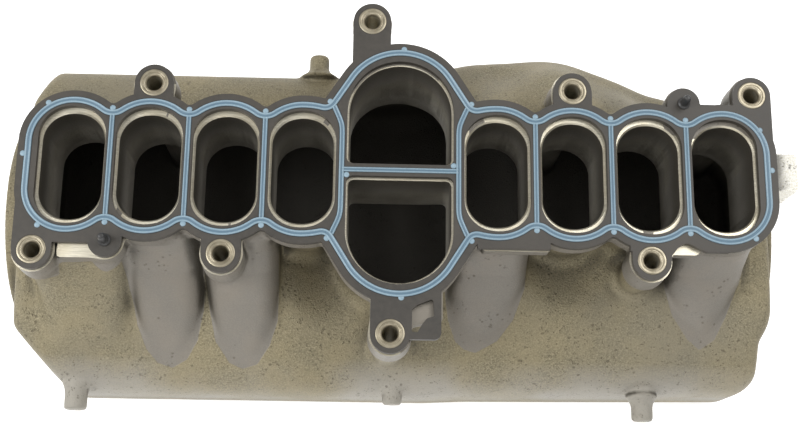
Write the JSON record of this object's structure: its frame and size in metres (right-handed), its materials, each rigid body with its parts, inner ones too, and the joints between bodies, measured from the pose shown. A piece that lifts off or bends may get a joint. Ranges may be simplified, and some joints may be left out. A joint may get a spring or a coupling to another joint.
{
  "type": "intake manifold",
  "caption": "Cast aluminium twin-inlet V8 intake manifold with arched plenum, runners and a carrier gasket with silicone seals on its mating face.",
  "frame": {"origin": "middle of the bar between the two inlets, on the seat plane (tops of the compression limiters)", "axes": "+X along the row of ports, +Y across it towards the side with the raised bulge, +Z out of the mating face"},
  "size_m": [0.471, 0.2358, 0.1555],
  "materials": {
    "cast_aluminium": "sand-cast, grainy, with machined faces",
    "carrier_plastic": "moulded glass-filled plastic, satin",
    "seal_silicone": "satin silicone",
    "limiter_steel": "turned, plated",
    "pin_plastic": "satin"
  },
  "bodies": {
    "root": {"casting": "cast_aluminium", "gasket_carrier": "carrier_plastic", "seal_top": "seal_silicone", "seal_bottom": "seal_silicone", "limiter_1": "limiter_steel", "limiter_2": "limiter_steel", "limiter_3": "limiter_steel", "limiter_4": "limiter_steel", "limiter_5": "limiter_steel", "limiter_6": "limiter_steel", "limiter_7": "limiter_steel", "limiter_8": "limiter_steel", "locating_pin_1": "pin_plastic", "locating_pin_2": "pin_plastic"}
  },
  "joints": []
}
